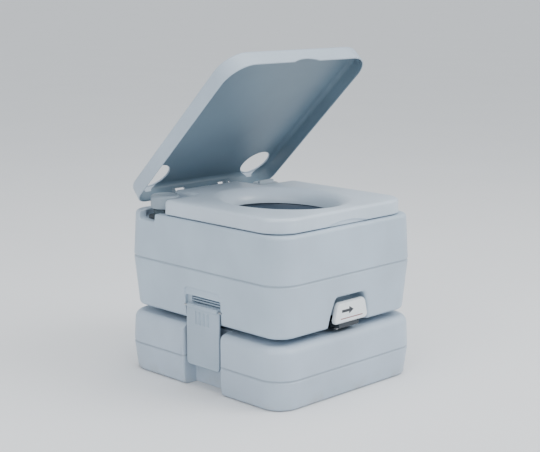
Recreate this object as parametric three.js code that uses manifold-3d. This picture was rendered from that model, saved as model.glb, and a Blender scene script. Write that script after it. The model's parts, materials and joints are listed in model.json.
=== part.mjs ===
// Portable cassette toilet: a flush tank with its bowl, seat and lid stands on a waste tank
// with a slide valve. Millimetres, +Z up, the front faces -Y, the floor is z = 0.
import * as THREE from 'three';
import { mergeVertices, mergeGeometries } from 'three/addons/utils/BufferGeometryUtils.js';
import Module from 'manifold-3d';

const wasm = await Module();
wasm.setup();

// ---------- driving dimensions ----------
const WIDTH = 364;              // flush tank, side to side at its parting line
const DEPTH = 415;              // flush tank, front to back at its parting line
const CORNER_R = 46;            // upright corners of both tanks
const WALL = 4;                 // wall of both tanks
const GAP = 0.3;                // clearance between pieces that touch

const WASTE_TOP = 113;          // top of the waste tank
const WASTE_PARTING = 54;       // parting line of the waste tank
const FLUSH_BOTTOM = 125;       // underside of the flush tank
const FLUSH_PARTING = 220;      // parting line of the flush tank
const DECK = 305;               // top of the flush tank

const BOWL_Y = -30;             // centre of the seat opening
const OUTLET_R = 46;            // bowl outlet and valve opening
const SEAT_THICK = 28;
const HINGE_Y = 197;            // axis shared by seat and lid
const HINGE_Z = 314;
const HINGE_PIN_R = 3;
const KNUCKLE_R = 7;
const HINGE_X = 60;             // middle of each hinge
const LID_DEPTH = 33;
const LID_SKIN = 3.5;
const LID_OPEN_DEG = 44;
const LID_REAR = 185;           // back edge of the lid when closed
const LID_HOLE_R = 32.5;        // holes that the pump head and filler cap stand in

const POST_X = 132;             // pump head on the left, filler cap on the right
const POST_Y = 145;
const WELL_R = 36;
const WELL_FLOOR = 291;

const CLASP_Y = -7;             // middle of the side clasps
const CLASP_W = 86;
const CLASP_X = 175;            // middle plane of the clasp plate
const CLASP_PIVOT_Z = 150;
const CLASP_BOTTOM = 41;
const CLASP_THICK = 5;
const RECESS_X = 150;           // back of the recess that each clasp hangs in

const BLADE_Z = 119.3;          // underside of the valve blade
const BLADE_THICK = 2.4;
const BLADE_R = 52;
const NOTCH_BACK = -166;        // back of the pull handle's notch
const HANDLE_FACE_Y = -204;
const HANDLE_W = 96;            // width at its foot; it narrows by a fifth to its top
const HANDLE_LOW = 132;
const HANDLE_HIGH = 171;

const SPOUT_X = 140;            // upright swivel axis of the pouring spout
const SPOUT_Y = 176;
const SPOUT_Z = 84;             // height of the spout's level arm
const SPOUT_R = 24;

// ---------- materials ----------
const COLOURS = {
  tank: [0.73, 0.77, 0.80, 0.45], base: [0.75, 0.78, 0.82, 0.45], seat: [0.83, 0.85, 0.86, 0.35],
  lid: [0.66, 0.72, 0.75, 0.42], bowl: [0.62, 0.68, 0.73, 0.3], clasp: [0.67, 0.73, 0.76, 0.4],
  pump: [0.70, 0.75, 0.79, 0.4], rubber: [0.06, 0.065, 0.07, 0.7], valve: [0.20, 0.23, 0.26, 0.45],
  label: [0.92, 0.94, 0.95, 0.5], tube: [0.80, 0.86, 0.88, 0.25], steel: [0.72, 0.73, 0.74, 0.3],
};

const toilet = new THREE.Group();
toilet.name = 'cassette_toilet';

function addPart(name, geometry, finish, parent = toilet) {
  const [r, g, b, roughness] = COLOURS[finish];
  const material = new THREE.MeshStandardMaterial({
    color: new THREE.Color(r, g, b), roughness, metalness: finish === 'steel' ? 1 : 0,
  });
  material.name = finish;
  const mesh = new THREE.Mesh(geometry, material);
  mesh.name = name;
  parent.add(mesh);
  return mesh;
}

// ---------- solids ----------
function toSolid(geometry) {
  const clean = geometry.clone();
  clean.deleteAttribute('normal');
  clean.deleteAttribute('uv');
  const welded = mergeVertices(clean, 1e-4);
  return new wasm.Manifold(new wasm.Mesh({
    numProp: 3,
    vertProperties: new Float32Array(welded.attributes.position.array),
    triVerts: new Uint32Array(welded.index.array),
  }));
}

function toGeometry(solid) {
  const mesh = solid.getMesh();
  const geometry = new THREE.BufferGeometry();
  geometry.setAttribute('position', new THREE.BufferAttribute(new Float32Array(mesh.vertProperties), 3));
  geometry.setIndex(new THREE.BufferAttribute(new Uint32Array(mesh.triVerts), 1));
  geometry.computeVertexNormals();
  return geometry;
}

// Everything in keep is joined, then everything in cut is taken away.
function carve(keep, cut = []) {
  let solid = wasm.Manifold.union(keep.map(toSolid));
  if (cut.length > 0) solid = solid.subtract(wasm.Manifold.union(cut.map(toSolid)));
  return toGeometry(solid);
}

function block(x0, x1, y0, y1, z0, z1) {
  const geometry = new THREE.BoxGeometry(x1 - x0, y1 - y0, z1 - z0);
  return geometry.translate((x0 + x1) / 2, (y0 + y1) / 2, (z0 + z1) / 2);
}

// Upright round bar.
function rod(x, y, r, z0, z1, sides = 32) {
  const geometry = new THREE.CylinderGeometry(r, r, z1 - z0, sides).rotateX(Math.PI / 2);
  return geometry.translate(x, y, (z0 + z1) / 2);
}

// Level round bars along X and along Y.
function rodX(y, z, r, x0, x1, sides = 24) {
  const geometry = new THREE.CylinderGeometry(r, r, x1 - x0, sides).rotateZ(Math.PI / 2);
  return geometry.translate((x0 + x1) / 2, y, z);
}

function rodY(x, z, r, y0, y1, sides = 24) {
  return new THREE.CylinderGeometry(r, r, y1 - y0, sides).translate(x, (y0 + y1) / 2, z);
}

// A turned piece: pairs of radius and height, closed on themselves.
function turned(x, y, pairs, sides = 32) {
  const points = pairs.map(([r, z]) => new THREE.Vector2(r, z));
  points.push(points[0].clone());
  return new THREE.LatheGeometry(points, sides).rotateX(Math.PI / 2).translate(x, y, 0);
}

function ring(x, y, rIn, rOut, z0, z1, sides = 32) {
  return turned(x, y, [[rIn, z0], [rOut, z0], [rOut, z1], [rIn, z1]], sides);
}

// Rounded rectangle outline with its own radius at the front and at the back corners.
function outline(x0, x1, y0, y1, rFront, rBack = rFront, steps = 7) {
  const points = [];
  const corners = [
    [x1 - rBack, y1 - rBack, rBack, 0], [x0 + rBack, y1 - rBack, rBack, 1],
    [x0 + rFront, y0 + rFront, rFront, 2], [x1 - rFront, y0 + rFront, rFront, 3],
  ];
  for (const [cx, cy, r, quarter] of corners) {
    for (let i = 0; i <= steps; i++) {
      const angle = (quarter + i / steps) * Math.PI / 2;
      points.push([cx + r * Math.cos(angle), cy + r * Math.sin(angle)]);
    }
  }
  return points;
}

function ellipse(a, b, cy = BOWL_Y, steps = 40) {
  return Array.from({ length: steps }, (_, i) => {
    const angle = i / steps * 2 * Math.PI;
    return [a * Math.cos(angle), cy + b * Math.sin(angle)];
  });
}

// Skin over a stack of outlines that all have the same number of points.
function loft(levels) {
  const count = levels[0].points.length;
  const positions = [];
  for (const { z, points } of levels) {
    for (const [x, y] of points) positions.push(x, y, z);
  }
  const index = [];
  for (let k = 0; k + 1 < levels.length; k++) {
    for (let i = 0; i < count; i++) {
      const a = k * count + i;
      const b = k * count + (i + 1) % count;
      index.push(a, b, b + count, a, b + count, a + count);
    }
  }
  const top = (levels.length - 1) * count;
  for (let i = 1; i + 1 < count; i++) {
    index.push(0, i + 1, i);
    index.push(top, top + i, top + i + 1);
  }
  const geometry = new THREE.BufferGeometry();
  geometry.setAttribute('position', new THREE.Float32BufferAttribute(positions, 3));
  geometry.setIndex(index);
  return geometry;
}

// Tank body from heights and how far each stands in from the full width.
function tankBody(steps) {
  return loft(steps.map(([z, inset]) => ({
    z,
    points: outline(-WIDTH / 2 + inset, WIDTH / 2 - inset, -DEPTH / 2 + inset, DEPTH / 2 - inset,
      Math.max(CORNER_R - inset, 12)),
  })));
}

// Prism across X from an outline in the YZ plane, and across Y from one in the XZ plane.
function prismX(points, x0, x1) {
  const shape = new THREE.Shape(points.map(([y, z]) => new THREE.Vector2(y, z)));
  const geometry = new THREE.ExtrudeGeometry(shape, { depth: x1 - x0, bevelEnabled: false });
  return geometry.rotateX(Math.PI / 2).rotateZ(Math.PI / 2).translate(x0, 0, 0);
}

function prismY(points, y0, y1) {
  const shape = new THREE.Shape(points.map(([x, z]) => new THREE.Vector2(x, z)));
  const geometry = new THREE.ExtrudeGeometry(shape, { depth: y1 - y0, bevelEnabled: false });
  return geometry.rotateX(Math.PI / 2).translate(0, y1, 0);
}

function tube(points, r, sides = 5) {
  const path = new THREE.CatmullRomCurve3(points.map((p) => new THREE.Vector3(...p)));
  const shape = new THREE.Shape();
  shape.absarc(0, 0, r, 0, 2 * Math.PI);
  return new THREE.ExtrudeGeometry(shape, { steps: 14, curveSegments: sides, extrudePath: path });
}

// Coil spring standing on z0, with its ends inside its own height.
function spring(x, y, radius, wire, z0, z1, turns) {
  const points = [];
  const steps = turns * 10;
  for (let i = 0; i <= steps; i++) {
    const angle = i / 10 * 2 * Math.PI;
    const z = z0 + wire + (z1 - z0 - 2 * wire) * i / steps;
    points.push(new THREE.Vector3(x + radius * Math.cos(angle), y + radius * Math.sin(angle), z));
  }
  const shape = new THREE.Shape();
  shape.absarc(0, 0, wire * 0.98, 0, 2 * Math.PI);
  const path = new THREE.CatmullRomCurve3(points);
  return new THREE.ExtrudeGeometry(shape, { steps, curveSegments: 3, extrudePath: path });
}

const both = [-1, 1];
const span = (side, a, b) => (side < 0 ? [-b, -a] : [a, b]);

// ---------- waste tank ----------
const recessFront = CLASP_Y - CLASP_W / 2 - 7;
const recessBack = CLASP_Y + CLASP_W / 2 + 5;
const spoutPocket = [36, 170, 146, 230, 54, WASTE_TOP + 5];

const wasteOuter = tankBody([
  [0, 10], [2, 6.5], [6, 4], [WASTE_PARTING - 1, -2], [WASTE_PARTING, -1],
  [WASTE_PARTING + 1, -2], [98, 0], [107, 3], [111, 8], [WASTE_TOP, 15],
]);
const wasteInner = tankBody([
  [WALL, 12], [WASTE_PARTING, WALL - 2], [98, WALL + 1], [WASTE_TOP - WALL, 17],
]);
const wasteKeepOut = both.map((side) => block(...span(side, RECESS_X - WALL, 200), recessFront - WALL,
  recessBack + WALL, -1, 120));
wasteKeepOut.push(block(spoutPocket[0] - WALL, spoutPocket[1] + WALL, spoutPocket[2] - WALL, 230,
  spoutPocket[4] - WALL, 130));
const wasteCavity = carve([wasteInner], wasteKeepOut);
const wasteCuts = [wasteCavity, rod(0, 0, OUTLET_R, 100, 120, 40), block(...spoutPocket),
  rod(SPOUT_X, SPOUT_Y, SPOUT_R - 4, 45, 60), rod(-125, 160, 5, 100, 120, 20)];
for (const side of both) {
  wasteCuts.push(block(...span(side, RECESS_X, 200), recessFront, recessBack, -1, 120));
}
const keepers = both.map((side) => block(...span(side, RECESS_X - 1, 168.6), CLASP_Y - 22, CLASP_Y + 22, 52, 56));
const wasteShell = carve([wasteOuter], wasteCuts);
addPart('waste_tank', carve([wasteShell, ...keepers]), 'base');

// ---------- slide valve on top of the waste tank ----------
const valveSide = 62;
const valveFront = -158;
const valveBack = 64;
const bladeTop = BLADE_Z + BLADE_THICK;
const screwSpots = [];
for (const y of [-140, -44, 52]) {
  for (const side of both) screwSpots.push([side * 57.5, y]);
}
const bladePocket = [block(-53, 53, -152, 0, BLADE_Z - GAP, 130), rod(0, 0, 53.2, BLADE_Z - GAP, 130, 48),
  block(-29, 29, -170, -150, BLADE_Z - GAP, 130)];
const valvePlate = (z0, z1) => loft([z0, z1].map((z) => ({
  z, points: outline(-valveSide, valveSide, valveFront, valveBack, 10, 30, 5),
})));
addPart('valve_base', carve([valvePlate(WASTE_TOP + GAP, bladeTop + GAP)], [
  rod(0, 0, OUTLET_R, 110, 130, 40), rod(0, 0, BLADE_R + 0.3, 116, BLADE_Z, 48), ...bladePocket,
  ...screwSpots.map(([x, y]) => rod(x, y, 2.1, 115, 130, 12)),
]), 'valve');
addPart('valve_lip_seal', ring(0, 0, OUTLET_R + 0.3, BLADE_R - 0.3, 116.3, BLADE_Z - 0.4, 40), 'rubber');
addPart('valve_cover', carve([valvePlate(bladeTop + 2 * GAP, 129)], [
  rod(0, 0, OUTLET_R, 110, 140, 40), ...screwSpots.map(([x, y]) => rod(x, y, 2.1, 115, 130, 12)),
]), 'valve');
addPart('bowl_outlet_seal', turned(0, 0, [[47.5, 129.3], [54, 129.3], [53, 132.5], [51.5, 134.7],
  [48.5, 134.7]], 40), 'rubber');
screwSpots.forEach(([x, y], i) => {
  const solid = carve([rod(x, y, 3.6, 129.3, 131.4, 16), rod(x, y, 1.7, 116, 130, 10)],
    [block(x - 2.4, x + 2.4, y - 0.4, y + 0.4, 130.4, 132), block(x - 0.4, x + 0.4, y - 2.4, y + 2.4, 130.4, 132)]);
  addPart(`valve_screw_${i + 1}`, solid, 'steel');
});

addPart('valve_blade', carve([
  rod(0, 0, BLADE_R, BLADE_Z, bladeTop, 48), block(-BLADE_R, BLADE_R, -BLADE_R, 0, BLADE_Z, bladeTop),
  block(-28, 28, -190, -40, BLADE_Z, bladeTop),
], both.map((side) => rod(side * 16, -184, 2.2, 110, 130, 12))), 'valve');

// ---------- pull handle ----------
const handleOutline = (inset) => outline(-HANDLE_W / 2 + inset, HANDLE_W / 2 - inset,
  HANDLE_LOW + inset, HANDLE_HIGH - inset, 8, 8, 4)
  .map(([x, z]) => [x * (1 - 0.2 * (z - HANDLE_LOW) / (HANDLE_HIGH - HANDLE_LOW)), z]);
const gripPlate = prismY(handleOutline(0), HANDLE_FACE_Y, HANDLE_FACE_Y + 7);
addPart('pull_handle', carve([
  gripPlate, block(-26, 26, HANDLE_FACE_Y + 2, -178, bladeTop + GAP, 128),
  block(-26, 26, HANDLE_FACE_Y + 2, HANDLE_FACE_Y + 7, bladeTop + GAP, 140),
], both.map((side) => rod(side * 16, -184, 2.2, 110, 126, 12))), 'tank');
addPart('handle_label', prismY(handleOutline(2.5), HANDLE_FACE_Y - 1, HANDLE_FACE_Y - GAP), 'label');
both.forEach((side) => {
  const solid = carve([rod(side * 16, -184, 3.6, 117, BLADE_Z - GAP, 16), rod(side * 16, -184, 1.7, 118, 125.5, 10)]);
  addPart(`handle_screw_${side < 0 ? 'left' : 'right'}`, solid, 'steel');
});

// ---------- vent button ----------
const VENT = [-125, 160];
addPart('vent_seal', ring(...VENT, 5.4, 9, WASTE_TOP + GAP, WASTE_TOP + 1.8, 24), 'rubber');
addPart('vent_spring', spring(...VENT, 6.6, 0.6, WASTE_TOP + 2.1, WASTE_TOP + 6.7, 3), 'steel');
addPart('vent_button', carve([rod(...VENT, 9.5, WASTE_TOP + 7, WASTE_TOP + 10, 28),
  rod(...VENT, 3.6, WASTE_TOP - 12, WASTE_TOP + 8, 20)]), 'valve');

// ---------- pouring spout, stowed along the back ----------
const spoutFloor = spoutPocket[4];
const armEnd = SPOUT_X - 78;
addPart('spout_ring', ring(SPOUT_X, SPOUT_Y, SPOUT_R + 0.4, SPOUT_R + 4, spoutFloor + GAP, spoutFloor + 3), 'valve');
addPart('spout_seal', ring(SPOUT_X, SPOUT_Y, SPOUT_R - 4, SPOUT_R - 0.3, spoutFloor + GAP, spoutFloor + 2), 'rubber');
addPart('pouring_spout', carve([
  rod(SPOUT_X, SPOUT_Y, SPOUT_R, spoutFloor + 2.3, SPOUT_Z),
  new THREE.SphereGeometry(SPOUT_R, 32, 16).rotateX(Math.PI / 2).translate(SPOUT_X, SPOUT_Y, SPOUT_Z),
  rodX(SPOUT_Y, SPOUT_Z, SPOUT_R, armEnd, SPOUT_X, 32),
], [
  rod(SPOUT_X, SPOUT_Y, SPOUT_R - 4, 40, SPOUT_Z),
  new THREE.SphereGeometry(SPOUT_R - 4, 32, 16).rotateX(Math.PI / 2).translate(SPOUT_X, SPOUT_Y, SPOUT_Z),
  rodX(SPOUT_Y, SPOUT_Z, SPOUT_R - 4, armEnd - 5, SPOUT_X, 32),
]), 'valve');
const capSeal = ring(0, 0, SPOUT_R - 4, SPOUT_R - 0.2, 0.3, 2).rotateY(-Math.PI / 2).translate(armEnd, SPOUT_Y, SPOUT_Z);
addPart('spout_cap_seal', capSeal, 'rubber');
const capX = armEnd - 2.3;
addPart('spout_cap', carve([rodX(SPOUT_Y, SPOUT_Z, SPOUT_R + 4, capX - 6, capX + 16, 32)],
  [rodX(SPOUT_Y, SPOUT_Z, SPOUT_R + 0.6, capX, capX + 20, 32)]), 'valve');

// ---------- flush tank ----------
const flushOuter = tankBody([
  [FLUSH_BOTTOM, 17], [FLUSH_BOTTOM + 2, 12.5], [FLUSH_BOTTOM + 7, 9], [FLUSH_PARTING - 1, 0],
  [FLUSH_PARTING, 1], [FLUSH_PARTING + 1, 0], [DECK - 6, 4.5], [DECK - 2, 6], [DECK, 9],
]);
const flushInner = tankBody([
  [FLUSH_BOTTOM + WALL, 17], [FLUSH_BOTTOM + 10, 13], [FLUSH_PARTING, WALL], [DECK - 8, WALL + 5],
  [DECK - WALL, 14],
]);
const notch = (grow) => prismY([[-53 - grow, FLUSH_BOTTOM - 1], [53 + grow, FLUSH_BOTTOM - 1],
  [47 + grow, 150], [39 + grow, 176 + grow], [34, 180 + grow], [-34, 180 + grow],
  [-39 - grow, 176 + grow], [-47 - grow, 150]], -230, NOTCH_BACK + grow);
const bay = (grow) => block(-66 - grow, 66 + grow, -163, 68 + grow, 120, 137 + grow);
const channel = (grow) => block(-32 - grow, 32 + grow, -180, -160, 120, 137 + grow);
const claspPocket = (side, grow) => [
  block(...span(side, 168.5 - grow, 200), recessFront + 4 - grow, recessBack + grow, 120, 170 + grow),
  block(...span(side, 175 - grow, 200), recessFront + 4 - grow, recessBack + grow, 165, 184 + grow),
];
const well = (side, grow) => [
  rod(side * POST_X, POST_Y, WELL_R + grow, WELL_FLOOR - grow, 320, 40),
  block(...span(side, POST_X, 200), POST_Y - 22 - grow, POST_Y + 22 + grow, WELL_FLOOR - grow, 320),
];
const keepOut = [notch(WALL), bay(WALL), channel(WALL), loft([{ z: 296, points: ellipse(116, 134) },
  { z: 310, points: ellipse(116, 134) }])];
for (const side of both) keepOut.push(...claspPocket(side, WALL), ...well(side, WALL));
const flushCavity = carve([flushInner], keepOut);
const hingeEar = (side) => prismX([[HINGE_Y - 27, 297], [HINGE_Y - 2, 297],
  [HINGE_Y + KNUCKLE_R, HINGE_Z - 3], [HINGE_Y + KNUCKLE_R, HINGE_Z], [HINGE_Y + 4.9, HINGE_Z + 5],
  [HINGE_Y, HINGE_Z + KNUCKLE_R], [HINGE_Y - 5, HINGE_Z + 5], [HINGE_Y - 13, DECK], [HINGE_Y - 27, 301]],
...span(side, HINGE_X - 4, HINGE_X + 4));
const neck = rod(POST_X, POST_Y, 22.5, WELL_FLOOR - 4, 316, 40);
const flushCuts = [flushCavity, notch(0), bay(0), channel(0), rod(0, 0, 52, 130, 145, 48),
  loft([{ z: 290, points: ellipse(102.5, 120.5) }, { z: 310, points: ellipse(102.5, 120.5) }]),
  loft([{ z: 301.5, points: ellipse(110, 128) }, { z: 310, points: ellipse(110, 128) }]),
  rod(-POST_X, POST_Y, 21, 280, 300, 32)];
for (const side of both) {
  flushCuts.push(...claspPocket(side, 0), ...well(side, 0));
  flushCuts.push(rodY(side * CLASP_X, CLASP_PIVOT_Z, 2.3, recessFront + 1.4, recessBack + 2.6, 16));
}
const flushShell = carve([flushOuter], flushCuts);
const flushTank = carve([flushShell, neck, ...both.map(hingeEar)], [
  rod(POST_X, POST_Y, 19, 280, 320, 40),
  rodX(HINGE_Y, HINGE_Z, HINGE_PIN_R + 0.3, -HINGE_X - 20, HINGE_X + 20),
]);
addPart('flush_tank', flushTank, 'tank');

// ---------- bowl ----------
const bowlSteps = [
  [FLUSH_BOTTOM + 10, 46, 46, 0], [150, 46, 46, 0], [165, 53, 59, -6], [200, 73, 86, -18],
  [250, 92, 109, -27], [DECK - GAP, 98, 116, BOWL_Y],
];
const bowlLoft = (grow, extra) => loft(bowlSteps.map(([z, a, b, y], i) => ({
  z: z + (i === 0 ? -extra : 0) + (i === bowlSteps.length - 1 ? extra : 0),
  points: ellipse(a + grow, b + grow, y),
})));
const bowlFlange = loft([{ z: 301.8, points: ellipse(109.6, 127.6) }, { z: DECK - GAP, points: ellipse(109.6, 127.6) }]);
addPart('bowl', carve([bowlLoft(3.2, 0), bowlFlange], [bowlLoft(0, 1), rodY(0, 280, 7, 60, 110, 20)]), 'bowl');

// ---------- flush pump on the left ----------
const pumpBore = 17;
addPart('pump_body', carve([
  rod(-POST_X, POST_Y, 20, 215, WELL_FLOOR + 1), rod(-POST_X, POST_Y, 31, WELL_FLOOR + GAP, 295),
  rodX(POST_Y, 272, 4.5, -POST_X, -104, 16),
], [rod(-POST_X, POST_Y, pumpBore, 219, 300), rodX(POST_Y, 272, 2.6, -POST_X, -90, 12),
  rod(-POST_X, POST_Y, 3, 210, 225, 12)]), 'valve');
const folds = [];
const foldCount = 4;
const foldHigh = (309.6 - 295.3) / foldCount;
for (let i = 0; i < foldCount; i++) {
  folds.push([22.5, 295.3 + i * foldHigh], [20, 295.3 + (i + 0.5) * foldHigh]);
}
folds.push([22.5, 309.6], [20.5, 309.6]);
for (let i = foldCount - 1; i >= 0; i--) {
  folds.push([18, 295.3 + (i + 0.5) * foldHigh], [20.5, 295.3 + i * foldHigh]);
}
addPart('pump_bellows', turned(-POST_X, POST_Y, folds, 24), 'rubber');
addPart('pump_spring', spring(-POST_X, POST_Y, 12, 1.1, 219.3, 325.7, 6), 'steel');
addPart('pump_head', turned(-POST_X, POST_Y, [[0, 326], [24, 326], [24, 310], [27, 310],
  [27, 331], [25.5, 333.5], [22, 334.5], [0, 334.5]], 40), 'pump');
addPart('intake_tube', carve([rod(-POST_X, POST_Y, 5, 136, 214.7, 16)], [rod(-POST_X, POST_Y, 3, 130, 220, 16)]), 'tube');
addPart('delivery_tube', tube([[-103, POST_Y, 272], [-84, POST_Y - 2, 273], [-45, 133, 278], [-14, 120, 280],
  [0, 111.5, 280]], 4.5), 'tube');
addPart('flush_nozzle', carve([rodY(0, 280, 6.5, 74, 108, 20), rodY(0, 280, 9, 90.5, 94, 20)],
  [rodY(0, 280, 3, 78, 112, 12), block(-8, 8, 76, 80, 276, 279)]), 'valve');

// ---------- filler cap on the right ----------
addPart('filler_gasket', ring(POST_X, POST_Y, 19, 23, 316.3, 318.6, 40), 'rubber');
addPart('filler_cap', carve([
  turned(POST_X, POST_Y, [[0, 319], [24, 319], [24, 299], [27, 299], [27, 325], [25, 328], [0, 328]], 40),
  block(POST_X - 20, POST_X + 20, POST_Y - 4, POST_Y + 4, 327, 333),
]), 'pump');

// ---------- seat ----------
const seatLow = DECK + 1.2;
const seatHigh = seatLow + SEAT_THICK;
const seatHalf = 171;
const seatBack = 178;
const seatRing = (z, inset) => ({
  z, points: outline(-seatHalf + inset, seatHalf - inset, -194 + inset, seatBack, 50 - inset, 8),
});
const seatSlope = (grow) => loft([
  { z: seatLow - 2, points: ellipse(90 + grow, 108 + grow) },
  { z: seatLow + 10, points: ellipse(92 + grow, 110 + grow) },
  { z: seatHigh - 4, points: ellipse(106 + grow, 126 + grow) },
  { z: seatHigh + 2, points: ellipse(116 + grow, 136 + grow) },
]);
const rearCut = (side, grow) => block(...span(side, 84 - grow, 200), 106 - grow, 230, 290, 350);
const thumb = (z, lift, half, back) => {
  const radius = (half * half + lift * lift) / (2 * lift);
  return rodY(0, z + lift - radius, radius, -215, back, 160);
};
const seatCavity = carve([loft([{ z: seatLow - 3, points: outline(-seatHalf + 4, seatHalf - 4, -190, seatBack - 4, 40, 6) },
  { z: seatHigh - 7, points: outline(-seatHalf + 6, seatHalf - 6, -188, seatBack - 4, 38, 6) }])],
[seatSlope(4), rearCut(-1, 4), rearCut(1, 4),
  loft([{ z: 290, points: ellipse(95, 113) }, { z: 350, points: ellipse(95, 113) }])]);
const seatKnuckles = both.flatMap((side) => [
  rodX(HINGE_Y, HINGE_Z, KNUCKLE_R, ...span(side, HINGE_X - 14, HINGE_X - 6)),
  block(...span(side, HINGE_X - 14, HINGE_X - 6), seatBack - 6, HINGE_Y, HINGE_Z - 6, HINGE_Z + 6),
]);
const hingeBore = rodX(HINGE_Y, HINGE_Z, HINGE_PIN_R + 0.3, -HINGE_X - 20, HINGE_X + 20);
const seatBody = carve([loft([seatRing(seatLow, 1.5), seatRing(seatLow + 2, 0), seatRing(seatHigh - 8, 0.5),
  seatRing(seatHigh - 3, 3), seatRing(seatHigh - 0.8, 8), seatRing(seatHigh, 16)])],
[seatCavity, seatSlope(0), rearCut(-1, 0), rearCut(1, 0), thumb(seatLow, 7, 52, -191.6)]);
addPart('seat', carve([seatBody, ...seatKnuckles], [hingeBore]), 'seat');

// ---------- lid, built closed and then swung open about the hinge ----------
const lidLow = DECK + 2;
const lidHigh = lidLow + LID_DEPTH;
const lidRing = (z, inset) => ({
  z, points: outline(-177 + inset, 177 - inset, -203 + inset, LID_REAR - inset, 52 - inset, 30 - inset),
});
const lidOuter = loft([lidRing(lidLow, 0), lidRing(lidHigh - 7, 1), lidRing(lidHigh - 2.5, 3), lidRing(lidHigh - 0.6, 6),
  lidRing(lidHigh, 10)]);
const lidInner = loft([lidRing(lidLow - 1, LID_SKIN), lidRing(lidHigh - 8, LID_SKIN + 1),
  lidRing(lidHigh - LID_SKIN, LID_SKIN + 5)]);
const lidCuts = [lidInner, thumb(lidLow, 6, 32, -175), hingeBore];
for (const side of both) {
  lidCuts.push(rod(side * POST_X, POST_Y + 2, LID_HOLE_R, 320, 350, 40));
  lidCuts.push(block(...span(side, HINGE_X - 17, HINGE_X + 17), LID_REAR - 5, 200, lidLow - 1, HINGE_Z + 12));
}
const lidKnuckles = both.flatMap((side) => [
  rodX(HINGE_Y, HINGE_Z, KNUCKLE_R, ...span(side, HINGE_X + 6, HINGE_X + 14)),
  prismX([[HINGE_Y - 2, HINGE_Z - 4], [HINGE_Y + 1, HINGE_Z + 5], [LID_REAR + 1, lidHigh - 6],
    [LID_REAR - 5, lidHigh - 2], [LID_REAR - 5.5, lidHigh - 6], [LID_REAR, HINGE_Z]],
  ...span(side, HINGE_X + 6, HINGE_X + 14)),
]);
const lidClosed = carve([carve([lidOuter], lidCuts), ...lidKnuckles], [hingeBore]);
lidClosed.translate(0, -HINGE_Y, -HINGE_Z);
const lidPivot = new THREE.Group();
lidPivot.position.set(0, HINGE_Y, HINGE_Z);
lidPivot.rotation.x = -THREE.MathUtils.degToRad(LID_OPEN_DEG);
toilet.add(lidPivot);
addPart('lid', lidClosed, 'lid', lidPivot);

both.forEach((side) => {
  const name = side < 0 ? 'left' : 'right';
  addPart(`hinge_pin_${name}`, rodX(HINGE_Y, HINGE_Z, HINGE_PIN_R, ...span(side, HINGE_X - 15, HINGE_X + 15), 20), 'steel');
});

// ---------- side clasps ----------
both.forEach((side) => {
  const name = side < 0 ? 'left' : 'right';
  const y0 = CLASP_Y - CLASP_W / 2;
  const y1 = CLASP_Y + CLASP_W / 2;
  const half = CLASP_THICK / 2;
  addPart(`clasp_${name}`, carve([
    block(...span(side, CLASP_X - half, CLASP_X + half), y0, y1, CLASP_BOTTOM, CLASP_PIVOT_Z),
    rodY(side * CLASP_X, CLASP_PIVOT_Z, 4.6, y0 + 3, y1 - 3, 24),
    block(...span(side, CLASP_X - half - 3.2, CLASP_X), CLASP_Y - 20, CLASP_Y + 20, CLASP_BOTTOM + 2, CLASP_BOTTOM + 8),
  ], [rodY(side * CLASP_X, CLASP_PIVOT_Z, 2.3, y0 - 1, y1 + 1, 16)]), 'clasp');
  addPart(`clasp_pin_${name}`, rodY(side * CLASP_X, CLASP_PIVOT_Z, 1.9, recessFront + 2, recessBack + 2, 16), 'steel');
});

export default toilet;
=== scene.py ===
# %% [markdown]
# # A portable cassette toilet
# The flush tank, with its bowl, seat and lid, stands on a waste tank with a slide valve. A
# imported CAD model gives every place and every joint. This script loads it as a fixed frame
# and builds the finished mouldings round it, so that each visible piece has soft edges, a
# parting line and a real surface. Lengths below are in millimetres until a mesh is made.

# %% Load the frame
import json
import math

import bmesh
import bpy
from mathutils import Matrix, Vector


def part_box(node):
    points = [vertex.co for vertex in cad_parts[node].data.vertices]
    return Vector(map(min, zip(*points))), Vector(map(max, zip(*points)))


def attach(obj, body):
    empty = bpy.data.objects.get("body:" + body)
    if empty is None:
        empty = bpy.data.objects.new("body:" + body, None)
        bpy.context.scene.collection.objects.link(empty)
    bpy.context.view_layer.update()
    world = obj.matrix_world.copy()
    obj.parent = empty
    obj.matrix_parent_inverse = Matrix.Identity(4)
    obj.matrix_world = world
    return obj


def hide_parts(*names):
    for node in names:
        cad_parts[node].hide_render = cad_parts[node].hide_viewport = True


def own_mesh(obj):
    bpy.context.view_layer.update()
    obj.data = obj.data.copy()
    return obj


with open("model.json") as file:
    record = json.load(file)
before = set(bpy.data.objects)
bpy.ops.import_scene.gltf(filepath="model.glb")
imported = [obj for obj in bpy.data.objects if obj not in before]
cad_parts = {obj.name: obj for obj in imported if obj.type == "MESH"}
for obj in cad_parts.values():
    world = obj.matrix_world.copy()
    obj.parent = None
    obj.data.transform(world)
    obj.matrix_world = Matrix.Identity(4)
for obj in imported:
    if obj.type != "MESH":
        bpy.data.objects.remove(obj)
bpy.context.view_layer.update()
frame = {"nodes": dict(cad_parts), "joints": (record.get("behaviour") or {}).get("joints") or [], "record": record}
MM = 0.001
JOINTS = {joint["name"]: joint for joint in frame["joints"]}


def corners(node):
    """Lowest and highest corner of a CAD node, in millimetres."""
    low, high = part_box(node)
    return low / MM, high / MM


def pivot(joint):
    """The point a hinge turns about, in millimetres."""
    return Vector(JOINTS[joint]["pos_m"]) / MM


# %% [markdown]
# ## Sizes that several pieces share
# The tanks' outer faces, the deck and the hinge come from the frame. Only the heights of the
# two parting lines, the wall and the corner radius are set here, because no CAD box shows
# them.

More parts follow.
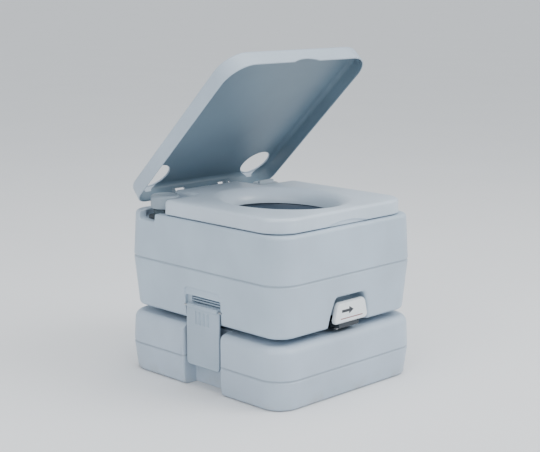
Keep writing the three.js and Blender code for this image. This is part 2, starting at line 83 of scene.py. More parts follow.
# %% Shared sizes
FLUSH_LOW, FLUSH_HIGH = corners("flush_tank")
HALF_W = FLUSH_HIGH.x
HALF_D = -FLUSH_LOW.y
BOTTOM = FLUSH_LOW.z
WASTE_TOP = corners("waste_tank")[1].z
DECK = corners("seat")[0].z - 1.2
HINGE = pivot("lid_hinge")
CORNER_R = 46
WALL = 4
FLUSH_PARTING = 220
WASTE_PARTING = 54
BOWL_Y = -30
OUTLET_R = 46
SIDES = (-1, 1)
POST = pivot("filler_turn")
WELL_R = 36
WELL_FLOOR = 291
CLASP = pivot("clasp_right_hinge")
print("deck", round(DECK, 1), "hinge", tuple(round(v) for v in HINGE))

# %% [markdown]
# ## Camera, floor and light
# The camera stands about 45 degrees round to the left and 14 degrees up, 2.4 m away, with a
# lens that fills the picture. Three large soft lights, a wide sun and a pale world give the
# even light of a product picture: the front face is a little brighter than the side.

# %% Camera
VIEW_AZIMUTH = math.radians(-44.8)
VIEW_HEIGHT = math.radians(13.9)
VIEW_DISTANCE = 2.38
LOOK_AT = Vector((0.0, 0.0, 0.276))
EYE_BASE = Vector((0.0, 0.0, 0.150))

backward = Vector((
    math.sin(VIEW_AZIMUTH) * math.cos(VIEW_HEIGHT),
    -math.cos(VIEW_AZIMUTH) * math.cos(VIEW_HEIGHT),
    math.sin(VIEW_HEIGHT),
))
camera = bpy.data.objects.new("camera", bpy.data.cameras.new("camera"))
camera.data.lens = 84
camera.data.sensor_width = 36
camera.location = EYE_BASE + backward * VIEW_DISTANCE
camera.rotation_euler = (LOOK_AT - camera.location).to_track_quat("-Z", "Y").to_euler()
bpy.context.scene.collection.objects.link(camera)
bpy.context.scene.camera = camera
print("camera at", tuple(round(v, 2) for v in camera.location))


# %% Lights
def softbox(name, place, aim, size, watts):
    """A square soft light that faces a point."""
    light = bpy.data.lights.new(name, "AREA")
    light.size = size
    light.energy = watts
    lamp = bpy.data.objects.new(name, light)
    lamp.location = place
    lamp.rotation_euler = (Vector(aim) - Vector(place)).to_track_quat("-Z", "Y").to_euler()
    bpy.context.scene.collection.objects.link(lamp)
    return lamp


softbox("key_light", (1.1, -2.0, 2.1), (0, 0, 0.2), 1.6, 46)
softbox("side_light", (-2.4, -0.7, 1.5), (0, 0, 0.2), 1.8, 30)
softbox("top_light", (-0.2, 0.3, 2.9), (0, 0, 0.2), 2.0, 26)

world = bpy.data.worlds.new("pale_world")
world.use_nodes = True
world.node_tree.nodes["Background"].inputs["Color"].default_value = (0.86, 0.93, 1.0, 1)
world.node_tree.nodes["Background"].inputs["Strength"].default_value = 0.62
bpy.context.scene.world = world

sky = bpy.data.lights.new("sky_light", "SUN")
sky.energy = 1.5
sky.angle = 1.4
sky_lamp = bpy.data.objects.new("sky_light", sky)
sky_lamp.rotation_euler = Vector((-0.25, 0.35, -1.0)).to_track_quat("-Z", "Y").to_euler()
bpy.context.scene.collection.objects.link(sky_lamp)

# %% [markdown]
# ## Writing shaders as sums
# A node tree is easier to read as an expression. `Value` wraps one output socket and gives
# it the usual operators, so `0.4 + grain * 0.1` adds the two Math nodes it needs. Every
# other node comes from `Finish.node`, which takes the node's type, its settings and the
# values or links of its sockets.

# %% Shader helpers
class Value:
    """One number on a node's output, with operators that add Math nodes."""

    def __init__(self, finish, socket):
        self.finish = finish
        self.socket = socket

    def _math(self, operation, first, second):
        made = self.finish.node("ShaderNodeMath", {"operation": operation}, {0: first, 1: second})
        return Value(self.finish, made.outputs[0])

    def __add__(self, other):
        return self._math("ADD", self, other)

    def __radd__(self, other):
        return self._math("ADD", other, self)

    def __sub__(self, other):
        return self._math("SUBTRACT", self, other)

    def __rsub__(self, other):
        return self._math("SUBTRACT", other, self)

    def __mul__(self, other):
        return self._math("MULTIPLY", self, other)

    def __rmul__(self, other):
        return self._math("MULTIPLY", other, self)

    def smooth(self, low, high):
        """0 below low, 1 above high, and a smooth rise between."""
        made = self.finish.node("ShaderNodeMapRange", {"interpolation_type": "SMOOTHSTEP"},
                                {"Value": self, "From Min": low, "From Max": high})
        return Value(self.finish, made.outputs["Result"])

    def near(self, centre, reach):
        """1 where the number is centre, falling to 0 at reach away from it."""
        away = self._math("ABSOLUTE", self - centre, 0)
        return 1 - away.smooth(0, reach)


class Finish:
    """A material under construction."""

    def __init__(self, name):
        self.material = bpy.data.materials.new(name)
        self.material.use_nodes = True
        self.tree = self.material.node_tree
        self.shader = self.tree.nodes["Principled BSDF"]
        self.place = self.node("ShaderNodeTexCoord").outputs["Object"]
        axes = self.node("ShaderNodeSeparateXYZ", {}, {"Vector": self.place})
        self.x, self.y, self.z = (Value(self, axes.outputs[i]) for i in range(3))

    def put(self, socket, value):
        if isinstance(value, Value):
            value = value.socket
        if isinstance(value, bpy.types.NodeSocket):
            self.tree.links.new(value, socket)
        else:
            socket.default_value = value

    def node(self, kind, settings=None, sockets=None):
        made = self.tree.nodes.new(kind)
        for key, value in (settings or {}).items():
            if key == "stops":
                ramp = made.color_ramp
                while len(ramp.elements) < len(value):
                    ramp.elements.new(0.5)
                for element, (position, colour) in zip(ramp.elements, value):
                    element.position = position
                    element.color = (*colour, 1)
            else:
                setattr(made, key, value)
        for key, value in (sockets or {}).items():
            self.put(made.inputs[key], value)
        return made

    def noise(self, scale, detail=2.0, stretch=None, rough=0.5):
        """Noise from 0 to 1. Stretch squeezes the pattern along each axis."""
        place = self.place
        if stretch:
            place = self.node("ShaderNodeMapping", {}, {"Vector": place, "Scale": stretch}).outputs[0]
        made = self.node("ShaderNodeTexNoise", {}, {
            "Vector": place, "Scale": scale, "Detail": detail, "Roughness": rough})
        return Value(self, made.outputs[0])

    def mix(self, factor, first, second):
        """Between two colours."""
        made = self.node("ShaderNodeMix", {"data_type": "RGBA"}, {0: factor})
        self.put(made.inputs[6], first if not isinstance(first, tuple) else (*first, 1))
        self.put(made.inputs[7], second if not isinstance(second, tuple) else (*second, 1))
        return made.outputs[2]

    def bump(self, height, depth, strength=1.0):
        """Relief: height runs from 0 to 1 and depth is in metres."""
        made = self.node("ShaderNodeBump", {}, {
            "Height": height, "Distance": depth, "Strength": strength})
        self.put(self.shader.inputs["Normal"], made.outputs[0])

    def set(self, **sockets):
        names = {"colour": "Base Color", "rough": "Roughness", "metal": "Metallic",
                 "coat": "Coat Weight", "coat_rough": "Coat Roughness",
                 "specular": "Specular IOR Level"}
        for key, value in sockets.items():
            if isinstance(value, tuple):
                value = (*value, 1)
            self.put(self.shader.inputs[names[key]], value)
        return self.material


# %% [markdown]
# ## Moulded plastic
# Blown and injected mouldings look alike from afar but not close to. Both have a fine grain
# from the mould and a slow unevenness where the plastic cooled. The tone also darkens towards
# the bottom, and along the parting line, where the dark band is painted shade in the groove
# together with grime. Hairline scuffs are lighter. One function makes all the grey mouldings,
# with the strength of each effect as an argument.

# %% Moulded plastic finish
BOTTOM_GREY = (0.36, 0.36, 0.35)


def moulded(name, colour, rough, grain=1.0, line=None, bottom_darkening=0.0, coat=0.0, ripple=1.0):
    finish = Finish(name)
    cloud = finish.noise(7.0, 3.0)
    speck = finish.noise(420.0, 2.0)
    fine = finish.noise(1500.0, 2.0)
    scuff = finish.noise(26.0, 4.0, (1.0, 1.0, 9.0), 0.65).smooth(0.60, 0.78)
    dark = tuple(c * 0.90 for c in colour)
    light = tuple(min(1.0, c * 1.05) for c in colour)
    tone = finish.mix(cloud.smooth(0.25, 0.75), dark, light)
    tone = finish.mix(scuff * 0.16, tone, tuple(min(1.0, c * 1.16) for c in colour))
    tone = finish.mix(speck.smooth(0.66, 0.74) * 0.10, tone, tuple(c * 0.72 for c in colour))
    if line is not None:
        # Darker band along the parting line: painted shade in its groove, together with grime.
        groove_shade_and_grime = finish.z.near(line * MM, 3.0 * MM)
        tone = finish.mix(groove_shade_and_grime * (0.40 + cloud * 0.30), tone, tuple(c * 0.46 for c in colour))
    # Darker towards the bottom: the lowest 30 mm shift towards a flat grey, broken up by noise.
    if bottom_darkening:
        low = 1 - finish.z.smooth(0.0, 0.030)
        tone = finish.mix(low * finish.noise(38.0, 4.0).smooth(0.35, 0.75) * bottom_darkening, tone, BOTTOM_GREY)
    height = fine * (0.45 * grain) + speck * (0.55 * grain) + finish.noise(60.0, 1.0) * (0.8 * ripple)
    finish.bump(height, 0.00009, 0.9)
    return finish.set(colour=tone, rough=rough - 0.07 + cloud * 0.10 + scuff * 0.10,
                      coat=coat, coat_rough=0.25, specular=0.45)


TANK_GREY = (0.450, 0.545, 0.640)
BASE_GREY = (0.460, 0.545, 0.640)
tank_plastic = moulded("tank_plastic", TANK_GREY, 0.42, line=FLUSH_PARTING)
base_plastic = moulded("base_plastic", BASE_GREY, 0.42, line=WASTE_PARTING, bottom_darkening=0.45)
seat_plastic = moulded("seat_plastic", (0.560, 0.650, 0.740), 0.32, grain=0.5, ripple=0.5)
lid_plastic = moulded("lid_plastic", (0.435, 0.515, 0.600), 0.38, grain=0.6)
# Dark slate for the faces cut by the tray and for the hinge arms: painted shade on the lid's underside.
lid_lining = moulded("lid_lining", (0.155, 0.220, 0.275), 0.40, grain=0.8, ripple=0.5)
bowl_plastic = moulded("bowl_plastic", (0.130, 0.180, 0.245), 0.24, grain=0.2, coat=0.4, ripple=0.3)
clasp_plastic = moulded("clasp_plastic", (0.385, 0.470, 0.560), 0.40)
pump_plastic = moulded("pump_plastic", (0.300, 0.365, 0.425), 0.38, grain=0.6)
cap_plastic = moulded("cap_plastic", (0.430, 0.500, 0.560), 0.38, grain=0.6)
hinge_plastic = moulded("hinge_plastic", (0.150, 0.200, 0.240), 0.40, grain=0.8)
handle_plastic = moulded("handle_plastic", (0.66, 0.71, 0.74), 0.36, grain=0.6)
valve_plastic = moulded("valve_plastic", (0.035, 0.043, 0.052), 0.42, grain=1.3)
print("mouldings:", len([m for m in bpy.data.materials if m.name.endswith("_plastic")]))


# %% [markdown]
# ## Rubber, steel, hose and label
# Rubber seals are almost black, with a chalky bloom. The springs, screws and pins are
# stainless steel with a drawn grain. The two hoses are pale and slightly clear. The label is
# a glossy film with its print laid on as thin separate pieces.

# %% Other finishes
def rubber_finish(name, dark, pale):
    finish = Finish(name)
    bloom = finish.noise(90.0, 4.0)
    tone = finish.mix(bloom.smooth(0.45, 0.8), dark, pale)
    finish.bump(finish.noise(900.0, 2.0), 0.00010, 0.8)
    return finish.set(colour=tone, rough=0.62 + bloom * 0.18)


def steel_finish():
    finish = Finish("stainless_steel")
    drawn = finish.noise(900.0, 3.0, (1.0, 0.06, 1.0), 0.7)
    tone = finish.mix(drawn.smooth(0.3, 0.7), (0.52, 0.53, 0.54), (0.66, 0.67, 0.68))
    finish.bump(drawn, 0.00003, 0.7)
    return finish.set(colour=tone, metal=1.0, rough=0.24 + drawn * 0.14)


def hose_finish():
    finish = Finish("hose_plastic")
    milky = finish.noise(50.0, 3.0)
    tone = finish.mix(milky, (0.62, 0.70, 0.72), (0.76, 0.82, 0.83))
    finish.bump(finish.noise(500.0, 2.0), 0.00004, 0.6)
    return finish.set(colour=tone, rough=0.18 + milky * 0.12)


def film_finish(name, colour, rough):
    finish = Finish(name)
    wear = finish.noise(130.0, 4.0)
    tone = finish.mix(wear.smooth(0.55, 0.8) * 0.25, colour, tuple(c * 0.8 for c in colour))
    finish.bump(finish.noise(700.0, 2.0), 0.00003, 0.5)
    return finish.set(colour=tone, rough=rough + wear * 0.15)


seal_rubber = rubber_finish("seal_rubber", (0.018, 0.019, 0.021), (0.050, 0.051, 0.053))
bellows_rubber = rubber_finish("bellows_rubber", (0.110, 0.150, 0.180), (0.150, 0.190, 0.220))
stainless = steel_finish()
hose_plastic = hose_finish()
label_film = film_finish("label_film", (0.83, 0.87, 0.89), 0.22)
label_ink = film_finish("label_ink", (0.030, 0.034, 0.042), 0.35)
label_red = film_finish("label_red", (0.30, 0.12, 0.12), 0.35)


# %% [markdown]
# ## The floor
# A plain pale floor carries the soft shadow. It isn't part of the object.

# %% Floor
def floor_finish():
    finish = Finish("floor_paint")
    tone = finish.mix(finish.noise(2.0, 3.0), (0.78, 0.79, 0.80), (0.82, 0.83, 0.84))
    finish.bump(finish.noise(180.0, 2.0), 0.0001, 0.3)
    return finish.set(colour=tone, rough=0.7)


floor_mesh = bpy.data.meshes.new("floor")
FLOOR_HALF = 90.0
floor_mesh.from_pydata([(-FLOOR_HALF, -FLOOR_HALF, 0), (FLOOR_HALF, -FLOOR_HALF, 0),
                        (FLOOR_HALF, FLOOR_HALF, 0), (-FLOOR_HALF, FLOOR_HALF, 0)], [], [(0, 1, 2, 3)])
floor = bpy.data.objects.new("floor", floor_mesh)
floor.location.z = -0.0006
floor_mesh.materials.append(floor_finish())
bpy.context.scene.collection.objects.link(floor)


# %% [markdown]
# ## Making solids
# Most pieces here are stacks of outlines joined by faces, turned profiles, or prisms. Cuts
# and joins are then made with the Boolean modifier, which needs closed meshes. The tool
# that cuts a pocket has its mouth flared in a quarter round, so the cut leaves a rounded
# rim without any bevel afterwards.

# %% Outlines
OVAL_STEPS = 112


def rounded_box(x0, x1, y0, y1, r, steps=16):
    """Anticlockwise outline of a rounded rectangle."""
    centres = [(x1 - r, y1 - r), (x0 + r, y1 - r), (x0 + r, y0 + r), (x1 - r, y0 + r)]
    points = []
    for quarter, (cx, cy) in enumerate(centres):
        for i in range(steps + 1):
            angle = (quarter + i / steps) * math.pi / 2
            points.append((cx + r * math.cos(angle), cy + r * math.sin(angle)))
    return points


def soft_polygon(points, grow=0.0, steps=8):
    """Anticlockwise outline of (x, y, corner radius) points, moved outwards by grow."""
    result = []
    for i, (x, y, radius) in enumerate(points):
        before, after = points[i - 1], points[(i + 1) % len(points)]
        start = math.atan2(before[0] - x, y - before[1])
        turn = math.atan2(x - after[0], after[1] - y) - start
        turn = (turn + math.pi) % (2 * math.pi) - math.pi
        bend = 1 if turn > 0 else -1
        arc = max(radius + bend * grow, 0.02)
        reach = (grow - bend * arc) / math.cos(turn / 2)
        middle = start + turn / 2
        cx, cy = x + reach * math.cos(middle), y + reach * math.sin(middle)
        for k in range(steps + 1):
            a = start + turn * k / steps
            result.append((cx + bend * arc * math.cos(a), cy + bend * arc * math.sin(a)))
    return result


def four_sided(x0, x1, y0, y1, foot, head=None):
    """Points of a four-sided outline, with one radius at its foot and one at its head."""
    head = foot if head is None else head
    return [(x0, y0, foot), (x1, y0, foot), (x1, y1, head), (x0, y1, head)]


def along(levels, height):
    """The inset of a wall at a height, between the two levels around it."""
    for (z0, a), (z1, b) in zip(levels, levels[1:]):
        if z0 <= height <= z1:
            return a + (b - a) * (height - z0) / max(z1 - z0, 1e-6)
    return levels[0][1] if height < levels[0][0] else levels[-1][1]


def oval(a, b, y=BOWL_Y):
    return [(a * math.cos(2 * math.pi * i / OVAL_STEPS), y + b * math.sin(2 * math.pi * i / OVAL_STEPS))
            for i in range(OVAL_STEPS)]


def tank_outline(inset):
    reach_x, reach_y = HALF_W - inset, HALF_D - inset
    return rounded_box(-reach_x, reach_x, -reach_y, reach_y, max(CORNER_R - inset, 10), steps=20)


def ease_out(start, end, steps=6):
    """Heights and insets of an edge that leaves a flat face and turns upright."""
    return [(start[0] + (end[0] - start[0]) * (1 - math.cos(a)),
             start[1] + (end[1] - start[1]) * math.sin(a))
            for a in (i / steps * math.pi / 2 for i in range(steps + 1))]


def ease_in(start, end, steps=6):
    """The same for an edge that starts upright and turns on to a flat face."""
    return [(start[0] + (end[0] - start[0]) * math.sin(a),
             start[1] + (end[1] - start[1]) * (1 - math.cos(a)))
            for a in (i / steps * math.pi / 2 for i in range(steps + 1))]


def groove(height, inset):
    """A parting line: a narrow round-bottomed groove."""
    half, depth = 2.8, 1.7
    return [(height - half, inset), (height - half * 0.5, inset + depth * 0.75),
            (height, inset + depth), (height + half * 0.5, inset + depth * 0.75),
            (height + half, inset)]


# %% Meshes
def new_object(name, vertices, faces, mark=0):
    mesh = bpy.data.meshes.new(name)
    mesh.from_pydata([tuple(c * MM for c in v) for v in vertices], [], faces)
    mesh.validate()
    mesh.polygons.foreach_set("material_index", [mark] * len(mesh.polygons))
    made = bpy.data.objects.new(name, mesh)
    bpy.context.scene.collection.objects.link(made)
    return made


def stack(name, rings, closed=False, mark=0):
    """Skin over rings of 3D points. The ends are capped, or joined when closed is true."""
    count = len(rings[0])
    vertices = [p for ring in rings for p in ring]
    faces = []
    for k in range(len(rings) if closed else len(rings) - 1):
        a, b = k * count, (k + 1) % len(rings) * count
        for i in range(count):
            j = (i + 1) % count
            faces.append((a + i, a + j, b + j, b + i))
    if not closed:
        faces.append(tuple(range(count - 1, -1, -1)))
        faces.append(tuple(range(len(vertices) - count, len(vertices))))
    return outward(new_object(name, vertices, faces, mark))


def raised(levels, outline):
    """Rings for stack() from (height, inset) pairs and a function that gives the outline."""
    return [[(x, y, z) for x, y in outline(inset)] for z, inset in levels]


def turned(name, profile, centre, steps=96, axis="Z", mark=0):
    """A turned piece. The profile is (radius, height) pairs, closed on itself."""
    rings = []
    for i in range(steps):
        a = 2 * math.pi * i / steps
        ring = []
        for r, h in profile:
            u, v = r * math.cos(a), r * math.sin(a)
            x, y, z = {"Z": (u, v, h), "Y": (v, h, u), "X": (h, u, v)}[axis]
            ring.append((centre[0] + x, centre[1] + y, centre[2] + z))
        rings.append(ring)
    return stack(name, rings, closed=True, mark=mark)


def outward(piece):
    """Merges doubles and points every face outwards."""
    work = bmesh.new()
    work.from_mesh(piece.data)
    bmesh.ops.remove_doubles(work, verts=work.verts, dist=1e-6)
    bmesh.ops.dissolve_degenerate(work, edges=work.edges, dist=1e-7)
    bmesh.ops.delete(work, geom=[e for e in work.edges if e.is_wire], context="EDGES")
    bmesh.ops.recalc_face_normals(work, faces=work.faces)
    work.to_mesh(piece.data)
    work.free()
    return piece


def rod(name, centre, r, low, high, steps=64, axis="Z", mark=0):
    """A round bar between two heights along its axis."""
    return turned(name, [(0, low), (r, low), (r, high), (0, high)], centre, steps, axis, mark)


def slab(name, outline, low, high, axis="Z", soft=0.0, mark=0):
    """A prism with rounded rims between two places along an axis."""
    cx = sum(p[0] for p in outline) / len(outline)
    cy = sum(p[1] for p in outline) / len(outline)
    span = max(abs(p[0] - cx) for p in outline)

    def ring(h, inset):
        k = 1 - inset / span
        flat = [(cx + (x - cx) * k, cy + (y - cy) * k) for x, y in outline]
        return [{"Z": (u, v, h), "Y": (u, h, v), "X": (h, u, v)}[axis] for u, v in flat]

    levels = [(low, 0), (high, 0)]
    if soft:
        levels = ease_out((low, soft), (low + soft, 0), 4) + ease_in((high - soft, 0), (high, soft), 4)
    return stack(name, [ring(h, inset) for h, inset in levels], mark=mark)


def block(name, x0, x1, y0, y1, z0, z1, soft=0.0, mark=0):
    """A box-shaped tool or rib, with its upright edges rounded when soft is given."""
    if soft:
        return slab(name, rounded_box(x0, x1, y0, y1, soft, steps=5), z0, z1, soft=soft, mark=mark)
    return slab(name, [(x1, y1), (x0, y1), (x0, y0), (x1, y0)], z0, z1, mark=mark)


def pocket(name, axis, side, polygon, floor, mouth, flare=4.0, soft=2.0, wall=None):
    """Tool for a pocket cut inwards from a side wall, with a rounded floor and a rounded rim."""
    levels = ease_out((floor, -soft), (floor + soft, 0), 4)
    levels += [(d, flare - g) for d, g in ease_in((mouth - flare, flare), (mouth, 0), 6)]
    levels.append((mouth + 14, flare))
    rings = []
    for depth, grow in levels:
        share = min(1, (depth - floor) / (mouth - floor))
        ring = []
        for u, v in soft_polygon(polygon, grow):
            reach = side * (depth + (share * (wall(v) - mouth) if wall else 0))
            ring.append((reach, u, v) if axis == "X" else (u, reach, v))
        rings.append(ring)
    return stack(name, rings)


# %% Cutting and joining
def boolean(piece, tools, operation):
    """Applies Boolean modifiers at once and removes the tools."""
    for tool in tools:
        step = piece.modifiers.new(operation.lower(), "BOOLEAN")
        step.operation = operation
        step.solver = "MANIFOLD"
        step.object = tool
        shape = bpy.data.meshes.new_from_object(piece.evaluated_get(bpy.context.evaluated_depsgraph_get()))
        piece.modifiers.remove(step)
        old = piece.data
        piece.data = shape
        bpy.data.meshes.remove(old)
        bpy.data.objects.remove(tool)
    return piece


def carve(piece, *tools):
    return boolean(piece, tools, "DIFFERENCE")


def join(piece, *tools):
    return boolean(piece, tools, "UNION")


def complete(piece, materials, body, slot, *nodes, sharp=38):
    """Shading and finish for a finished piece; it is parented to its body's empty, and the CAD nodes it replaces
    are hidden.
    """
    materials = materials if isinstance(materials, list) else [materials]
    marks = [min(p.material_index, len(materials) - 1) for p in piece.data.polygons]
    piece.data.materials.clear()
    for material in materials:
        piece.data.materials.append(material)
    piece.data.polygons.foreach_set("material_index", marks)
    piece.data.polygons.foreach_set("use_smooth", [True] * len(piece.data.polygons))
    piece.data.set_sharp_from_angle(angle=math.radians(sharp))
    even = piece.modifiers.new("even_normals", "WEIGHTED_NORMAL")
    even.keep_sharp = True
    shape = bpy.data.meshes.new_from_object(piece.evaluated_get(bpy.context.evaluated_depsgraph_get()))
    piece.modifiers.remove(even)
    piece.data = shape
    shape.name = piece.name
    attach(piece, body)
    if nodes:
        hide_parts(*nodes)
    print(piece.name, len(shape.polygons), "faces on", body)
    return piece


# %% [markdown]
# ## The waste tank
# A blow-moulded tank is a closed skin with a large radius everywhere, and a fine line where
# the mould's halves met. Here it is a stack of rounded rectangles: each level says how far
# the wall stands in from the full width. The side recesses let the clasps hang down, and
# the pocket at the back holds the pouring spout.

# %% Waste tank
def leaning(half, foot, head):
    """A wall's distance from the middle at a height, from two (height, inset) points."""
    slope = (head[1] - foot[1]) / (head[0] - foot[0])
    return lambda height: half - foot[1] - slope * (height - foot[0])


CLASP_FRONT, CLASP_BACK = -57, 41
RECESS = 150
WASTE_LEVELS = (ease_out((0, 10), (6, 4)) + groove(WASTE_PARTING, -1.9)
                + ease_in((97, 0), (WASTE_TOP, 15.5), 8))
waste = stack("waste_tank_body", raised(WASTE_LEVELS, tank_outline))
inside = stack("waste_inside", raised([(4, 12), (54, 2), (98, 5), (109, 17)], tank_outline))
for side in SIDES:
    x_in, x_out = sorted((side * (RECESS - WALL), side * 210))
    carve(inside, block("keep", x_in, x_out, CLASP_FRONT - WALL, CLASP_BACK + WALL, -1, 120))
carve(inside, block("keep", 32, 174, 142, 230, 50, 130))
carve(waste, inside, rod("outlet", (0, 0, 0), OUTLET_R, 100, 120, 96),
      rod("vent_hole", (-125, 160, 0), 5, 100, 120, 32))
for side in SIDES:
    recess = four_sided(CLASP_FRONT, CLASP_BACK, -40, 140, 4)
    carve(waste, pocket("recess", "X", side, recess, RECESS, 183, flare=6))
    x_in, x_out = sorted((side * (RECESS - 2), side * 168.6))
    join(waste, block("keeper", x_in, x_out, -29, 15, 52, 56, soft=1.2))
back_wall = leaning(HALF_D, (WASTE_PARTING, -2), (98, 0))
carve(waste, pocket("spout_pocket", "Y", 1, four_sided(36, 170, 54, 150, 5), 146, 207, flare=4,
                    wall=back_wall))
carve(waste, rod("spout_hole", (140, 176, 0), 20, 45, 60, 64))
complete(waste, base_plastic, "waste", "base", "waste_tank")

# %% [markdown]
# ## The flush tank
# The upper tank is a second moulding with the same corners. Its deck has an opening for the
# bowl, a well at each rear corner for the pump and the filler neck, and two ears for the
# hinge. The front has a notch above the pull handle, and each side has a stepped recess for
# the clasp. Every pocket is cut with a tool that widens at its mouth, and that leaves the
# soft rim that a moulding has.

# %% Flush tank shell
FLUSH_LEVELS = (ease_out((BOTTOM, 17), (BOTTOM + 7, 9)) + groove(FLUSH_PARTING, 0.1)
                + ease_in((DECK - 7, 4.4), (DECK, 11), 8))
flush = stack("flush_tank_body", raised(FLUSH_LEVELS, tank_outline))
inside = stack("flush_inside", raised([(129, 17), (135, 13), (220, 4), (297, 9), (301, 14)], tank_outline))
LOWER_FRONT = leaning(HALF_D, (132, 9), (219, 0))
LOWER_SIDE = leaning(HALF_W, (132, 9), (219, 0))
UPPER_SIDE = leaning(HALF_W, (221, 0), (299, 4.4))
NOTCH = [(-55, 112, 2), (55, 112, 2), (47, 150, 20), (38, 180, 9), (-38, 180, 9), (-47, 150, 20)]


def notch_tool(grow):
    polygon = [(x * (1 + grow / 50), z + (grow if z > 170 else 0), r) for x, z, r in NOTCH]
    return pocket("notch", "Y", -1, polygon, 166 - grow, HALF_D, flare=5.5, soft=5, wall=LOWER_FRONT)


def well_tools(side, grow):
    low, r = WELL_FLOOR - grow, WELL_R + grow
    rim = [(r + 3 - a, h) for h, a in ease_in((DECK - 3, 3), (DECK, 0), 6)]
    tube = turned("well", [(0, low), (r - 2, low), (r, low + 2), *rim, (r + 3, DECK + 8), (0, DECK + 8)],
                  (side * POST.x, POST.y, 0), 96)
    gate = four_sided(POST.y - 22 - grow, POST.y + 22 + grow, low, 330, 5)
    return tube, pocket("well_gate", "X", side, gate, POST.x, HALF_W, flare=3.5, wall=UPPER_SIDE)


def clasp_tools(side, grow):
    front, back = -53 - grow, CLASP_BACK + grow
    deep = four_sided(front, back, 112, 170 + grow, 3, 5)
    step = four_sided(front, back, 112, 184 + grow, 3, 8)
    slot = four_sided(-45 - grow, 31 + grow, 154 - grow, 168 + grow, 4)
    return (pocket("clasp_deep", "X", side, deep, 168.5 - grow, 176, flare=1.5, soft=1.5),
            pocket("finger_slot", "X", side, slot, 157 - grow, 169, flare=1.5, soft=1.5),
            pocket("clasp_step", "X", side, step, 175 - grow, HALF_W, flare=3, soft=1.5, wall=LOWER_SIDE))


carve(inside, notch_tool(WALL), block("keep", -70, 70, -163, 72, 120, 141),
      block("keep", -36, 36, -180, -160, 120, 141),
      stack("keep", raised([(296, 116), (310, 116)], lambda a: oval(a, a + 18))))
for side in SIDES:
    carve(inside, *well_tools(side, WALL), *clasp_tools(side, WALL))
carve(flush, inside, notch_tool(0), block("bay", -66, 66, -163, 68, 120, 137),
      block("channel", -32, 32, -180, -160, 120, 137, soft=2), rod("outlet", (0, 0, 0), 52, 130, 145, 96))
print("flush tank cut:", len(flush.data.polygons), "faces")

# %% Flush tank openings, neck and hinge ears
rim = ease_in((DECK - 1.2, 1.2), (DECK, 0), 4)
carve(flush, stack("bowl_hole", raised([(290, 102.5), (310, 102.5)], lambda a: oval(a, a + 18))),
      stack("bowl_rebate", [[(x, y, z) for x, y in oval(111.2 - e, 129.2 - e)] for z, e in
                            [(301.5, 1.2), *rim, (312, 0)]]),
      rod("pump_hole", (-POST.x, POST.y, 0), 21, 280, 300))
for side in SIDES:
    carve(flush, *well_tools(side, 0), *clasp_tools(side, 0),
          rod("pin_hole", (side * 175, 0, CLASP.z), 2.3, CLASP_FRONT + 1.4, CLASP_BACK + 2.6, 32, axis="Y"))
    low, high = sorted((side * 156, side * 167))
    join(flush, *(block("slat", low, high, -46, 32, z, z + 1.8, soft=0.6) for z in (157.5, 162.5)))
join(flush, turned("neck", [(0, 287), (22.5, 287), (22.5, 314.8), (21.8, 316), (0, 316)],
                   (POST.x, POST.y, 0), 96))
for side in SIDES:
    ear = [(HINGE.y - 27, 297, 0.5), (HINGE.y - 3, 297, 0.5), (HINGE.y + 6.9, 309, 3),
           (HINGE.y + 4, HINGE.z + 6.9, 5), (HINGE.y - 4, HINGE.z + 6.9, 5), (HINGE.y - 13, DECK, 8)]
    low, high = sorted((side * 56, side * 64))
    join(flush, slab("ear", soft_polygon(ear), low, high, axis="X", soft=1.0, mark=1))
carve(flush, rod("neck_bore", (POST.x, POST.y, 0), 19, 280, 320, 96),
      rod("pin_bore", (0, HINGE.y, HINGE.z), 3.3, -80, 80, 48, axis="X"))
complete(flush, [tank_plastic, hinge_plastic], "flush", "tank", "flush_tank")

# %% [markdown]
# ## The seat
# The seat is a hollow moulding with a crowned top and a wide funnel down to the bowl. Its
# outline is a polygon with a radius at each corner, so insets of it stay parallel, even
# round the two inner corners beside the tongue that carries the hinge. The funnel is a
# stack of ovals that widens smoothly at the top, taken away from the block.

# %% Seat
SEAT_LOW, SEAT_HIGH = corners("seat")
SEAT_BACK = HINGE.y - 19
SEAT_OUTLINE = [(171, SEAT_LOW.y, 50), (171, 106, 12), (84, 106, 8), (84, SEAT_BACK, 8),
                (-84, SEAT_BACK, 8), (-84, 106, 8), (-171, 106, 12), (-171, SEAT_LOW.y, 50)]


def seat_outline(inset):
    return soft_polygon(SEAT_OUTLINE, -inset, steps=12)


def funnel(grow):
    steps = [(285, 90, 108), (312, 90.6, 108.6), (318, 92.5, 111.5), (323, 96, 115.5), (327, 100, 120),
             (330.5, 105.5, 126), (333, 112, 132.5), (334.5, 121, 141), (345, 121, 141)]
    return stack("funnel", [[(x, y, z) for x, y in oval(a + grow, b + grow)] for z, a, b in steps])


def arch(name, foot, lift, half, places):
    """A wide arch across Y: places are (y, flare) pairs from front to back."""
    radius = (half * half + lift * lift) / (2 * lift)
    rim = [(radius + flare, y) for y, flare in places]
    return turned(name, [(0, rim[0][1]), *rim, (0, rim[-1][1])], (0, 0, foot + lift - radius), 420, axis="Y")


